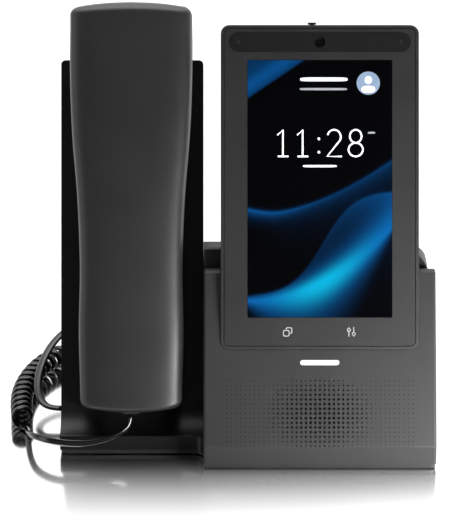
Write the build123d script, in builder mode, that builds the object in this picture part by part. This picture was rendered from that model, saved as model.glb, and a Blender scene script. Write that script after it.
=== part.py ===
from build123d import *
import os
from math import cos, pi, radians, sin, tan

# Desk IP phone: a wedge-shaped base with a portrait touch display, and a cradle at its left
# that holds a corded handset. Millimetres, +X right, +Y to the back, +Z up, with the origin
# under the middle of the footprint, on the surface that the phone stands on.

os.makedirs("parts", exist_ok=True)

# ---------------------------------------------------------------- driving dimensions
body_width = 110.0
cradle_width = 68.4
side_seam = 0.2  # between the body and the cradle
base_depth = 106.0
tilt = 22.0  # the display and the cradle lean back by this from upright
face_lean = 26.0  # the body's face leans a little more

wall = 2.2
shell_gap = 0.3  # between shells that meet along a seam
plate_bottom = 0.6  # the rubber feet hold the base plate this high
plate_thickness = 2.0
plate_inset = 0.4
plate_lap = 3.0  # how far the cradle's half of the plate runs into the body's
plate_corner = 2.0
foot_pad_radius = 5.5
foot_pad_recess = 0.6
chin_height = 12.0
face_length = 82.6
top_strip = 4.0  # from the top of the face back to the body's seam
chin_bend_radius = 3.0
top_roll_radius = 2.0
edge_radius = 1.2

panel_width = 93.7
panel_length = 153.4
panel_thickness = 8.5
panel_corner = 4.2
panel_seat = 45.7  # from the chin's bend up the face to the display's lower edge
panel_proud = 0.25
panel_gap = 0.15

foot_depth = 15.9  # the cradle's foot starts this far behind the chin
foot_height = 9.9
ramp_depth = 27.8
ramp_radius = 17.0
ear_overhang = 26.7  # the handset's top reaches past the cradle by this
cradle_thickness = 12.0
cradle_seam = 6.0  # the cradle's two shells meet this far behind its face
cradle_elbow = 77.0
cradle_corner = 2.1
blend_radius = 5.5  # where the foot's front runs into the body's side
lip_radius = 0.8
magnet_radius = 4.0

rear_height = 94.5
rear_top_depth = 8.3
rear_corner = 14.6
rear_inset = 2.6
rear_chamfer = 0.7
back_height = 30.0
cable_window = (30, 12)

board_height = 8.0
board_thickness = 1.6
network_size = (16.0, 13.4)
network_length = 21.0

handset_length = 195.4
handset_lift = 6.9  # the handset's lower end stands this far up the cradle
handset_depth = 29.5  # how far the outer face stands out from the cradle
handset_seam = 8.6
handset_wall = 2.0
cup_rest = 0.9  # the cups reach this far into the cradle's recesses
lower_rest = (34, 24)  # the two flat rests under the handset's cups
upper_rest = (34, 14)
rest_corner = 5.0
recess_depth = 1.5
recess_gap = 0.6
recess_backing = 0.8
grip_hollow = 6.5  # the grip's underside stands this far off the cradle
grip_from, grip_to = 50.0, 60.0  # from the lower end, and from the upper end
grip_ramp = 10.0
cup_stand = 0.8  # the handset's flat ends stand this far off the cradle
end_stub = 9.0
end_crown = 2.2
end_corner = 5.0
handset_round = 5.0
weight_width, weight_thickness, weight_gap = 18.0, 4.0, 2.7
jack_out = 14.2
jack_length = 16.0

display_width = 68.5
display_length = 121.8
display_base = 15.1  # from the display unit's lower edge to the lit area
rim = 1.5
groove = 0.3
bezel_front = -0.1
bezel_thickness = 1.2
back_thickness = 1.8
strip_size = (86.0, 9.4)
key_at = 8.4
lens_hole = 2.6
mic_x = 38.4
bracket_top = 28.0
bracket_thickness = 1.5

shutter_travel = 7.4
slide_gap = 0.35
knob_size = (3.9, 2.3)
stem = (2.0, 0.6)
blade_out = -1.6

grille_pitch = 2.2
grille_rows = 15
grille_columns = 41
grille_height = 15.6  # its centre, up the face from the chin's bend
largest_hole = 0.66
least_hole = 0.3
grille_reach_x = 30.0  # the holes shrink to a quarter at this reach
grille_reach_y = 21.0
light_height = 39.6
light_length = 18.4
light_width = 2.3

screw_shank = 1.25
screw_head = 2.3
screw_head_height = 1.2
boss_radius = 3.0
front_boss = 8.0
rear_boss = 12.0
screw_reach = 6.5

plug_width = 7.65
plug_height = 6.6
plug_length = 12.0
port_gap = 0.3
plug_stands = 0.5  # how far a plug's back stands out of its socket
cord_width = 4.0
coil_diameter = 11.2
cord_stub = 5.0  # a straight run out of each plug
port_length = 16.0
port_depth = 52.0  # the base's socket, this far behind the chin

# ---------------------------------------------------------------- places that follow
overall_width = body_width + side_seam + cradle_width
front = -base_depth / 2
cradle_left = -overall_width / 2
cradle_right = cradle_left + cradle_width
body_left = cradle_right + side_seam
body_right = body_left + body_width
body_x = (body_left + body_right) / 2
cradle_x = (cradle_left + cradle_right) / 2
shell_bottom = plate_bottom + plate_thickness

handset_top = handset_lift + handset_length
cradle_length = handset_top - ear_overhang

lean, slope = radians(tilt), radians(face_lean)
outward = (0, -cos(lean), sin(lean))
side_plane = Plane(origin=(0, front, 0), x_dir=(0, 1, 0), z_dir=(1, 0, 0))
face_plane = Plane(
    origin=(body_x, front, chin_height), x_dir=(1, 0, 0), z_dir=(0, -cos(slope), sin(slope))
)
panel_depth = panel_seat * sin(slope) - panel_proud * cos(lean)
panel_height = chin_height + panel_seat * cos(slope) + panel_proud * sin(lean)
panel_plane = Plane(
    origin=(body_x, front + panel_depth, panel_height), x_dir=(1, 0, 0), z_dir=outward
)
cradle_plane = Plane(
    origin=(cradle_x, front + ramp_depth, foot_height), x_dir=(1, 0, 0), z_dir=outward
)


def on_cradle(along, out):
    """Depth and height of a point up the cradle's face and out from it."""
    return (
        ramp_depth + along * sin(lean) - out * cos(lean),
        foot_height + along * cos(lean) + out * sin(lean),
    )


def on_panel(along, out):
    """Depth and height of a point up the display unit and out from its front."""
    return (
        panel_depth + along * sin(lean) - out * cos(lean),
        panel_height + along * cos(lean) + out * sin(lean),
    )


def finish(piece, name):
    """Label a finished piece and write it as its own node."""
    piece.part.label = name
    export_step(piece.part, f"parts/{name}.step")


def leaning_box(plane, x, y, out, width, length, depth):
    """A plain block on a leaning plane, its outer face at height out."""
    with BuildPart() as block:
        with BuildSketch(plane.offset(out)):
            with Locations((x, y)):
                Rectangle(width, length)
        extrude(amount=-depth)
    return block


# ---------------------------------------------------------------- base plate and feet
face_top = (face_length * sin(slope), chin_height + face_length * cos(slope))
seam_depth = face_top[0] + top_strip
rear_front = seam_depth + shell_gap
rear_edge = on_panel(0, -panel_thickness - shell_gap)
rear_turn = rear_edge[1] + (rear_front - rear_edge[0]) / tan(lean)
rear_top_front = rear_edge[0] + (rear_height - rear_edge[1]) * tan(lean)

boss_in = wall + boss_radius - 0.6
screw_places = [
    (body_left + boss_in, front + 11),
    (body_right - boss_in, front + 11),
    (body_left + boss_in, front + base_depth - boss_in),
    (body_right - rear_inset - boss_in, front + base_depth - boss_in),
    (cradle_left + boss_in, front + base_depth - boss_in),
    (cradle_right - boss_in, front + base_depth - boss_in),
    (cradle_left + boss_in, front + foot_depth + boss_in),
    (cradle_right - boss_in, front + foot_depth + boss_in),
]
foot_places = [
    (cradle_left + 16, front + foot_depth + 12),
    (cradle_left + 16, front + base_depth - 12),
    (body_x, front + base_depth - 12),
    (body_right - 16, front + base_depth - 12),
    (body_left + 16, front + 12),
    (body_right - 16, front + 12),
]

with BuildPart() as base_plate:
    with BuildSketch(Plane.XY.offset(plate_bottom)):
        with Locations((body_x, 0)):
            Rectangle(body_width - 2 * plate_inset, base_depth - 2 * plate_inset)
        with Locations((cradle_left + plate_inset, front + foot_depth + plate_inset)):
            Rectangle(cradle_width + plate_lap, base_depth - foot_depth - 2 * plate_inset,
                      align=(Align.MIN, Align.MIN))
        with Locations((body_left + plate_inset, front + foot_depth + plate_inset)):
            Rectangle(blend_radius, blend_radius, align=(Align.MAX, Align.MAX))
        with Locations((body_left + plate_inset - blend_radius,
                        front + foot_depth + plate_inset - blend_radius)):
            Circle(blend_radius, mode=Mode.SUBTRACT)
    extrude(amount=plate_thickness)
    fillet(base_plate.edges().filter_by(Axis.Z).group_by(Axis.X)[0], plate_corner)
    fillet(base_plate.edges().filter_by(Axis.Z).group_by(Axis.X)[-1], plate_corner)
    with Locations(*[(x, y, plate_bottom) for x, y in foot_places]):
        Cylinder(foot_pad_radius + 0.1, foot_pad_recess,
                 align=(Align.CENTER, Align.CENTER, Align.MIN), mode=Mode.SUBTRACT)
    with Locations(*[(x, y, plate_bottom) for x, y in screw_places]):
        Cylinder(screw_shank, plate_thickness,
                 align=(Align.CENTER, Align.CENTER, Align.MIN), mode=Mode.SUBTRACT)
        Cylinder(screw_head, screw_head_height,
                 align=(Align.CENTER, Align.CENTER, Align.MIN), mode=Mode.SUBTRACT)
finish(base_plate, "base_plate")

with BuildPart() as rubber_feet:
    with Locations(*[(x, y, 0) for x, y in foot_places]):
        Cylinder(foot_pad_radius, plate_bottom + foot_pad_recess,
                 align=(Align.CENTER, Align.CENTER, Align.MIN))
    chamfer(rubber_feet.edges().group_by(Axis.Z)[0], 0.4)
finish(rubber_feet, "rubber_feet")

with BuildPart() as base_screws:
    with Locations(*[(x, y, plate_bottom + 0.1) for x, y in screw_places]):
        Cylinder(screw_shank, screw_reach, align=(Align.CENTER, Align.CENTER, Align.MIN))
        Cylinder(screw_head - 0.1, screw_head_height - 0.1,
                 align=(Align.CENTER, Align.CENTER, Align.MIN))
finish(base_screws, "base_screws")


def screw_bosses(places, height):
    """Bosses with pilot holes, standing on the base plate inside a shell."""
    with Locations(*[(x, y, shell_bottom) for x, y in places]):
        Cylinder(boss_radius, height, align=(Align.CENTER, Align.CENTER, Align.MIN))
        Cylinder(screw_shank, height - 1, align=(Align.CENTER, Align.CENTER, Align.MIN),
                 mode=Mode.SUBTRACT)


def wedge(points, x_from, x_to, rounded=(), inset=0):
    """A side outline carried across the phone, some corners rounded, drawn in by inset."""
    with BuildPart() as solid:
        with BuildSketch(side_plane.offset(x_from)):
            with BuildLine():
                Polyline(*points, close=True)
            make_face()
            for depth, height, radius in rounded:
                fillet(vertices().sort_by_distance((depth, height))[0], radius)
            if inset:
                offset(amount=-inset, kind=Kind.INTERSECTION)
        extrude(amount=x_to - x_from)
    return solid.part


# ---------------------------------------------------------------- body front shell
def grille_holes():
    """(x, y, radius) of each hole: largest at the centre, shrinking outwards."""
    holes = []
    for column in range(grille_columns):
        for row in range(grille_rows):
            x = (column - (grille_columns - 1) / 2) * grille_pitch
            y = (row - (grille_rows - 1) / 2) * grille_pitch
            far = (x / grille_reach_x) ** 2 + (y / grille_reach_y) ** 2
            radius = largest_hole * (1 - 0.75 * far)
            if radius >= least_hole:
                holes.append((x, grille_height + y, radius))
    return holes


open_end = 30.0  # how far the hollow outlines run on past a shell's open sides

front_profile = [(0, shell_bottom), (0, chin_height), face_top,
                 (seam_depth, face_top[1]), (seam_depth, shell_bottom)]
front_hollow = [(0, -open_end), (0, chin_height), face_top,
                (seam_depth + open_end, face_top[1]), (seam_depth + open_end, -open_end)]

with BuildPart() as base_front_shell:
    add(wedge(front_profile, body_left, body_right,
              [(0, chin_height, chin_bend_radius), (*face_top, top_roll_radius)]))
    for end_face in (faces().sort_by(Axis.X)[0], faces().sort_by(Axis.X)[-1]):
        fillet([e for e in end_face.edges()
                if e.center().Z > shell_bottom + 0.5
                and e.center().Y < front + seam_depth - 0.5], edge_radius)
    add(wedge(front_hollow, body_left + wall, body_right - wall, inset=wall),
        mode=Mode.SUBTRACT)
    with BuildSketch(panel_plane.offset(panel_thickness)):
        with Locations((0, panel_length / 2)):
            RectangleRounded(panel_width + 2 * panel_gap, panel_length + 2 * panel_gap,
                             panel_corner + panel_gap)
    extrude(amount=-3 * panel_thickness, mode=Mode.SUBTRACT)
    with BuildSketch(face_plane.offset(1)):
        with Locations((0, light_height)):
            SlotOverall(light_length + 0.2, light_width + 0.2)
        for x, y, radius in grille_holes():
            with Locations((x, y)):
                Circle(radius)
    extrude(amount=-1 - 1.6 * wall, mode=Mode.SUBTRACT)
    screw_bosses(screw_places[:2], front_boss)
finish(base_front_shell, "base_front_shell")

# ---------------------------------------------------------------- rear housing
network_x = body_right - 30
network_height = board_height + board_thickness + network_size[1] / 2

rear_profile = [(rear_front, shell_bottom), (rear_front, rear_turn),
                (rear_top_front, rear_height),
                (rear_top_front + rear_top_depth, rear_height),
                (base_depth, back_height), (base_depth, shell_bottom)]
rear_hollow = [(rear_front, -open_end), *rear_profile[1:5], (base_depth, -open_end)]


def rounded_wedge(points, right, top, radius, x_from, inset=0):
    """A wedge whose upper right corner is round when seen from the front."""
    with BuildPart() as solid:
        add(wedge(points, x_from, right, inset=inset))
        with BuildSketch(Plane.XZ):
            with Locations((right, top)):
                Rectangle(4 * overall_width, 4 * overall_width, align=(Align.MAX, Align.MAX))
            fillet(vertices().sort_by_distance((right, top))[0], radius)
        extrude(amount=2 * base_depth, both=True, mode=Mode.INTERSECT)
    return solid.part


rear_right = body_right - rear_inset
with BuildPart() as rear_housing:
    add(rounded_wedge(rear_profile, rear_right, rear_height, rear_corner, body_left))
    chamfer(faces().sort_by(Axis.Z)[-1].edges().sort_by(Axis.Y)[0], rear_chamfer)
    add(rounded_wedge(rear_hollow, rear_right - wall, rear_height - wall,
                      rear_corner - wall, body_left + wall, wall), mode=Mode.SUBTRACT)
    screw_bosses(screw_places[2:4], rear_boss)
    with Locations((network_x, front + base_depth, network_height)):
        Box(network_size[0] + 0.4, 3 * wall, network_size[1] + 0.4, mode=Mode.SUBTRACT)
    with Locations((body_x, front + rear_front, 30)):
        Box(cable_window[0], 3 * wall, cable_window[1], mode=Mode.SUBTRACT)
finish(rear_housing, "rear_housing")

# ---------------------------------------------------------------- cradle
port_size = (plug_width + 3, plug_height + 3)
port_height = shell_bottom + 0.2 + port_size[1] / 2
lower_at = handset_lift + 21  # the handset's two rests, which sit in the cradle's recesses
upper_at = cradle_length - 16
magnet_places = [(0, lower_at + 6), (0, upper_at)]
rests = ((lower_at, lower_rest), (upper_at, upper_rest))

seam_foot = (foot_height - shell_bottom - cradle_seam * sin(lean)) / cos(lean)
back_seam = cradle_seam + shell_gap
back_seam_foot = (foot_height - shell_bottom - back_seam * sin(lean)) / cos(lean)
cradle_front_profile = [
    (foot_depth, shell_bottom), (foot_depth, foot_height), (ramp_depth, foot_height),
    on_cradle(cradle_length, 0), on_cradle(cradle_length, -cradle_seam),
    on_cradle(-seam_foot, -cradle_seam)]
cradle_front_hollow = [
    (foot_depth, -open_end), (foot_depth, foot_height), (ramp_depth, foot_height),
    on_cradle(cradle_length, 0), on_cradle(cradle_length, -open_end),
    (base_depth, -open_end)]
cradle_back_profile = [
    on_cradle(cradle_length, -back_seam), on_cradle(cradle_length, -cradle_thickness),
    on_cradle(cradle_elbow, -cradle_thickness), (base_depth, back_height),
    (base_depth, shell_bottom), on_cradle(-back_seam_foot, -back_seam)]
cradle_back_hollow = [
    on_cradle(cradle_length, open_end), *cradle_back_profile[1:4],
    (base_depth, -open_end), (foot_depth - 2 * open_end, -open_end)]
ramp_corner = (ramp_depth, foot_height, ramp_radius)


def round_cradle_top():
    """Round the two upper corners of a cradle shell."""
    across = Axis((0, 0, 0), outward)
    corners = [e for e in edges().filter_by(across)
               if e.center().Z > foot_height + 0.8 * cradle_length * cos(lean)]
    fillet(corners, cradle_corner)


with BuildPart() as cradle_front:
    add(wedge(cradle_front_profile, cradle_left, cradle_right, [ramp_corner]))
    round_cradle_top()
    lip = edges().filter_by(Axis.X).sort_by_distance((cradle_x, front + foot_depth, foot_height))
    fillet(lip[0], lip_radius)
    add(wedge(cradle_front_hollow, cradle_left + wall, cradle_right - wall,
              [ramp_corner], wall), mode=Mode.SUBTRACT)
    with BuildSketch(Plane.XY.offset(shell_bottom)):
        with Locations((cradle_right, front + foot_depth + 0.5)):
            Rectangle(blend_radius, blend_radius + 0.5, align=(Align.MAX, Align.MAX))
        with Locations((cradle_right - blend_radius, front + foot_depth - blend_radius)):
            Circle(blend_radius, mode=Mode.SUBTRACT)
    extrude(amount=foot_height - shell_bottom)
    with BuildSketch(cradle_plane.offset(-wall)):
        for at, size in rests:
            with Locations((0, at)):
                Rectangle(size[0] + 6, size[1] + 6)
    extrude(amount=-recess_backing)
    for at, size in rests:
        with BuildSketch(cradle_plane):
            with Locations((0, at)):
                RectangleRounded(size[0] + 2 * recess_gap, size[1] + 2 * recess_gap,
                                 rest_corner + recess_gap)
        extrude(amount=-recess_depth, mode=Mode.SUBTRACT)
    screw_bosses(screw_places[6:], foot_height - shell_bottom - 0.5)
finish(cradle_front, "cradle_front")

with BuildPart() as cradle_back:
    add(wedge(cradle_back_profile, cradle_left, cradle_right))
    round_cradle_top()
    add(wedge(cradle_back_hollow, cradle_left + wall, cradle_right - wall, inset=wall),
        mode=Mode.SUBTRACT)
    with Locations((cradle_left, front + port_depth, shell_bottom)):
        Box(3 * wall, port_size[0] + 0.4, 2 * port_size[1] + 0.8, mode=Mode.SUBTRACT)
    screw_bosses(screw_places[4:6], rear_boss)
finish(cradle_back, "cradle_back")

with BuildPart() as cradle_magnets:
    with BuildSketch(cradle_plane.offset(-wall - recess_backing - 0.1)):
        with Locations(*magnet_places):
            Circle(magnet_radius)
    extrude(amount=-2.5)
finish(cradle_magnets, "cradle_magnets")

finish(leaning_box(cradle_plane, 0, upper_at - 24, -wall - 0.1, 12, 9, 1.2), "hook_sensor")

with BuildPart() as ballast_plate:
    with Locations((cradle_x, front + 82, shell_bottom)):
        Box(cradle_width - 18, 30, 5, align=(Align.CENTER, Align.CENTER, Align.MIN))
    chamfer(ballast_plate.edges().filter_by(Axis.Z), 2)
finish(ballast_plate, "ballast_plate")

with BuildPart() as handset_port:
    with Locations((cradle_left + 0.2, front + port_depth, port_height)):
        Box(port_length, *port_size, align=(Align.MIN, Align.CENTER, Align.CENTER))
        Box(plug_length + 0.8, plug_width + 2 * port_gap, plug_height + 2 * port_gap,
            align=(Align.MIN, Align.CENTER, Align.CENTER), mode=Mode.SUBTRACT)
finish(handset_port, "handset_port")

# ---------------------------------------------------------------- boards and network port
with BuildPart() as main_board:
    with Locations((body_x - 2, front + base_depth - 34, board_height)):
        Box(body_width - 24, 52, board_thickness,
            align=(Align.CENTER, Align.CENTER, Align.MIN))
finish(main_board, "main_board")

with BuildPart() as board_standoffs:
    with Locations((body_x - 2, front + base_depth - 34, shell_bottom)):
        with GridLocations(body_width - 34, 42, 2, 2):
            Cylinder(2.2, board_height - shell_bottom,
                     align=(Align.CENTER, Align.CENTER, Align.MIN))
finish(board_standoffs, "board_standoffs")

with BuildPart() as network_port:
    with Locations((network_x, front + base_depth + 0.2, network_height)):
        Box(network_size[0], network_length, network_size[1],
            align=(Align.CENTER, Align.MAX, Align.CENTER))
        Box(11.9, 15, 8.4, align=(Align.CENTER, Align.MAX, Align.CENTER), mode=Mode.SUBTRACT)
finish(network_port, "network_port")

# ---------------------------------------------------------------- speaker and light bar
speaker_size = (50, 30)
cone_radius = 12.6

with BuildPart() as speaker_cloth:
    with BuildSketch(face_plane.offset(-wall - 0.05)):
        with Locations((0, grille_height)):
            Rectangle(*speaker_size)
    extrude(amount=-0.3)
finish(speaker_cloth, "speaker_cloth")

with BuildPart() as speaker_basket:
    with BuildSketch(face_plane.offset(-wall - 0.4)):
        with Locations((0, grille_height)):
            RectangleRounded(*speaker_size, 3)
    extrude(amount=-2)
    with BuildSketch(face_plane.offset(-wall - 2.4)):
        with Locations((0, grille_height)):
            Circle(cone_radius + 2)
    extrude(amount=-4)
    with BuildSketch(face_plane.offset(-wall - 0.4)):
        with Locations((0, grille_height)):
            Circle(cone_radius + 0.4)
    extrude(amount=-4.8, mode=Mode.SUBTRACT)
finish(speaker_basket, "speaker_basket")

with BuildPart() as speaker_cone:
    with Locations(face_plane.offset(-wall - 3.2) * Location((0, grille_height, 0))):
        Cone(5, cone_radius, 3.6)
        with Locations((0, 0, 0.6)):
            Cone(5, cone_radius, 3.6, mode=Mode.SUBTRACT)
finish(speaker_cone, "speaker_cone")

with BuildPart() as speaker_magnet:
    with BuildSketch(face_plane.offset(-wall - 6.4)):
        with Locations((0, grille_height)):
            Circle(11)
    extrude(amount=-6)
finish(speaker_magnet, "speaker_magnet")

with BuildPart() as light_bar:
    with BuildSketch(face_plane):
        with Locations((0, light_height)):
            SlotOverall(light_length, light_width)
    extrude(amount=-3)
finish(light_bar, "light_bar")

finish(leaning_box(face_plane, 0, light_height, -3.1, 30, 6, 1), "light_board")

# ---------------------------------------------------------------- display unit
strip_at = panel_length - 8.0
inner_width = panel_width - 2 * rim
inner_length = panel_length - 2 * rim
knob_x = -shutter_travel / 2
frame_back = -panel_thickness + back_thickness
bracket_back = -panel_thickness - 0.1
panel_screw_places = [(x, y) for x in (-22, 22) for y in (8, 22)]


def panel_plate(out, depth, width, length, corner, low):
    """A rounded plate in the display unit: its front at out, its lower edge at low."""
    with BuildPart() as plate:
        with BuildSketch(panel_plane.offset(out)):
            with Locations((0, low + length / 2)):
                RectangleRounded(width, length, corner)
        extrude(amount=-depth)
    return plate.part


def panel_block(name, x, y, out, width, length, depth):
    """A plain block in the display unit, its front at out."""
    finish(leaning_box(panel_plane, x, y, out, width, length, depth), name)


with BuildPart() as panel_frame:
    add(panel_plate(0, -frame_back, panel_width, panel_length, panel_corner, 0))
    fillet(faces().sort_by(Axis(panel_plane.origin, outward))[-1].edges(), 0.2)
    add(panel_plate(1, 20, inner_width, inner_length, panel_corner - rim, rim),
        mode=Mode.SUBTRACT)
    with BuildSketch(panel_plane.offset(blade_out + slide_gap)):
        with Locations((0, panel_length)):
            Rectangle(shutter_travel + stem[0] + 2 * slide_gap, 4 * rim)
    extrude(amount=-stem[1] - 2 * slide_gap, mode=Mode.SUBTRACT)
finish(panel_frame, "panel_frame")

with BuildPart() as panel_back:
    add(panel_plate(frame_back, back_thickness, panel_width, panel_length, panel_corner, 0))
    fillet(faces().sort_by(Axis(panel_plane.origin, outward))[0].edges(), 1.2)
    with BuildSketch(panel_plane.offset(frame_back)):
        with Locations(*panel_screw_places):
            Circle(screw_shank)
        with Locations((0, 14)):
            Rectangle(24, 4)
    extrude(amount=-2, mode=Mode.SUBTRACT)
finish(panel_back, "panel_back")

with BuildPart() as front_bezel:
    add(panel_plate(bezel_front, bezel_thickness, inner_width - 2 * groove, inner_length - 2 * groove,
                    panel_corner - rim - groove, rim + groove))
    add(panel_plate(1, 4, display_width, display_length, 0.5, display_base),
        mode=Mode.SUBTRACT)
    with BuildSketch(panel_plane.offset(1)):
        with Locations((0, strip_at)):
            SlotOverall(*strip_size)
    extrude(amount=-4, mode=Mode.SUBTRACT)
finish(front_bezel, "front_bezel")

with BuildPart() as display_glass:
    add(panel_plate(bezel_front - 0.05, 1.1, display_width - 0.2, display_length - 0.2,
                    0.4, display_base + 0.1))
finish(display_glass, "display_glass")

with BuildPart() as camera_strip:
    with BuildSketch(panel_plane.offset(bezel_front)):
        with Locations((0, strip_at)):
            SlotOverall(strip_size[0] - 0.2, strip_size[1] - 0.2)
            Circle(lens_hole, mode=Mode.SUBTRACT)
        with Locations((-mic_x, strip_at), (mic_x, strip_at)):
            Circle(0.7, mode=Mode.SUBTRACT)
    extrude(amount=-1.1)
finish(camera_strip, "camera_strip")

lcd_at = display_base + display_length / 2
panel_block("lcd_module", 0, lcd_at, -1.4, display_width + 4, display_length + 3, 2.8)
panel_block("display_board", 0, lcd_at, -5.0, 76, 104, 1.2)
panel_block("touch_key_board", 0, key_at, -1.4, 62, 8, 0.8)
panel_block("camera_board", 0, strip_at, -5.6, 26, 9, 0.9)

with BuildPart() as camera_module:
    with BuildSketch(panel_plane.offset(-5.5)):
        with Locations((0, strip_at)):
            Rectangle(8.5, 8.5)
    extrude(amount=2)
    with BuildSketch(panel_plane.offset(-3.5)):
        with Locations((0, strip_at)):
            Circle(lens_hole + 0.4)
    extrude(amount=1)
    with BuildSketch(panel_plane.offset(-2.5)):
        with Locations((0, strip_at)):
            Circle(1.9)
    extrude(amount=-0.8, mode=Mode.SUBTRACT)
finish(camera_module, "camera_module")

with BuildPart() as camera_lens:
    with BuildSketch(panel_plane.offset(-3.3)):
        with Locations((0, strip_at)):
            Circle(1.8)
    extrude(amount=0.7)
finish(camera_lens, "camera_lens")

with BuildPart() as microphones:
    with BuildSketch(panel_plane.offset(-1.3)):
        with Locations((-mic_x, strip_at), (mic_x, strip_at)):
            Rectangle(3.8, 3)
    extrude(amount=-1.1)
finish(microphones, "microphones")

with BuildPart() as shutter_blade:
    with BuildSketch(panel_plane.offset(blade_out)):
        with Locations((-3.3, strip_at)):
            RectangleRounded(15.8, 8.4, 1)
        with Locations((0, strip_at)):
            Circle(lens_hole + 0.3, mode=Mode.SUBTRACT)
        with Locations((knob_x, strip_at + 4)):
            Rectangle(stem[0], panel_length + slide_gap - strip_at - 4,
                      align=(Align.CENTER, Align.MIN))
    extrude(amount=-stem[1])
finish(shutter_blade, "shutter_blade")

with BuildPart() as shutter_knob:
    with BuildSketch(panel_plane.offset(blade_out - stem[1] / 2 + knob_size[1] / 2)):
        with Locations((knob_x, panel_length + slide_gap)):
            Rectangle(knob_size[0], 0.9, align=(Align.CENTER, Align.MIN))
    extrude(amount=-knob_size[1])
    fillet(shutter_knob.edges().group_by(Axis.Z)[-1], 0.2)
finish(shutter_knob, "shutter_knob")

bracket_foot = on_panel(4, bracket_back - bracket_thickness)[0]
with BuildPart() as panel_bracket:
    add(wedge([on_panel(bracket_top, bracket_back),
               on_panel(4, bracket_back),
               (bracket_foot - bracket_thickness, on_panel(4, bracket_back)[1] - 4),
               (bracket_foot - bracket_thickness, shell_bottom),
               (bracket_foot + 9, shell_bottom),
               (bracket_foot + 9, shell_bottom + bracket_thickness),
               (bracket_foot, shell_bottom + bracket_thickness),
               (bracket_foot, on_panel(4, bracket_back)[1] - 4),
               on_panel(4, bracket_back - bracket_thickness),
               on_panel(bracket_top, bracket_back - bracket_thickness)],
              body_x - 30, body_x + 30))
    with BuildSketch(panel_plane.offset(bracket_back + 1)):
        with Locations(*panel_screw_places):
            Circle(screw_shank)
        with Locations((0, 15)):
            Rectangle(26, 8)
    extrude(amount=-6, mode=Mode.SUBTRACT)
finish(panel_bracket, "panel_bracket")

with BuildPart() as panel_screws:
    with BuildSketch(panel_plane.offset(bracket_back - bracket_thickness)):
        with Locations(*panel_screw_places):
            Circle(screw_shank)
    extrude(amount=4.5)
    with BuildSketch(panel_plane.offset(bracket_back - bracket_thickness)):
        with Locations(*panel_screw_places):
            Circle(screw_head)
    extrude(amount=-1)
finish(panel_screws, "panel_screws")

# ---------------------------------------------------------------- handset
half_widths = [(24.2, end_stub), (24.8, 0.194 * handset_length), (24.3, 0.353 * handset_length),
               (25.5, 0.522 * handset_length), (28.0, 0.686 * handset_length),
               (29.0, 0.829 * handset_length), (28.9, handset_length - end_stub)]
ear_at = handset_top - 24
mouth_at = handset_lift + 13
grip_screws = [(0, handset_lift + 62), (0, handset_top - 78)]


def handset_outline(inset=0):
    """The handset's plan, drawn in by inset: a narrow grip that widens to the ear end."""
    sides = [(width - inset, handset_lift + y) for width, y in half_widths]
    bottom, top = handset_lift + inset, handset_top - inset
    ends = ((sides[0], bottom, bottom + end_crown), (sides[-1], top, top - end_crown))
    with BuildSketch() as outline:
        with BuildLine():
            for side in (-1, 1):
                Spline(*[(side * width, y) for width, y in sides])
            for (width, y), middle, corner in ends:
                Line((width, y), (width, corner))
                Line((-width, y), (-width, corner))
                ThreePointArc((width, corner), (0, middle), (-width, corner))
        make_face()
        for (width, y), middle, corner in ends:
            for side in (-1, 1):
                fillet(vertices().sort_by_distance((side * width, corner))[0],
                       end_corner - inset)
    return outline.sketch


def handset_under(raised, ends):
    """Side outline of the inner shell: flat ends and a hollow grip, up to the seam."""
    low, high = handset_lift - ends, handset_top + ends
    seam = handset_seam - 0.05 + (ends if raised else 0)
    return [on_cradle(low, seam), on_cradle(low, cup_stand + raised),
            on_cradle(handset_lift + grip_from - grip_ramp, cup_stand + raised),
            on_cradle(handset_lift + grip_from, grip_hollow + raised),
            on_cradle(handset_top - grip_to, grip_hollow + raised),
            on_cradle(handset_top - grip_to + grip_ramp, cup_stand + raised),
            on_cradle(high, cup_stand + raised), on_cradle(high, seam)]


with BuildPart() as handset_outer_shell:
    with BuildSketch(cradle_plane.offset(handset_seam + 0.05)):
        add(handset_outline())
    extrude(amount=handset_depth - handset_seam - 0.05)
    fillet(faces().sort_by(Axis(cradle_plane.origin, outward))[-1].edges(), handset_round)
    with BuildSketch(cradle_plane.offset(handset_seam - 1)):
        add(handset_outline(handset_wall))
    extrude(amount=handset_depth - handset_wall - handset_seam + 1, mode=Mode.SUBTRACT)
    with BuildSketch(cradle_plane.offset(handset_seam + 0.05)):
        with Locations(*grip_screws):
            Circle(boss_radius)
            Circle(screw_shank, mode=Mode.SUBTRACT)
    extrude(amount=handset_depth - handset_wall - handset_seam)
    with BuildSketch(cradle_plane.offset(jack_out - port_size[1] / 2 - 0.2)):
        with Locations((0, handset_lift)):
            Rectangle(port_size[0] + 0.4, 4 * handset_wall + 2)
    extrude(amount=port_size[1] + 0.4, mode=Mode.SUBTRACT)
finish(handset_outer_shell, "handset_outer_shell")

with BuildPart() as handset_hollow:
    with BuildSketch(cradle_plane):
        add(handset_outline(handset_wall))
    extrude(amount=2 * handset_seam)
    add(wedge(handset_under(handset_wall, 1), cradle_x - cradle_width, cradle_x + cradle_width),
        mode=Mode.INTERSECT)

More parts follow.
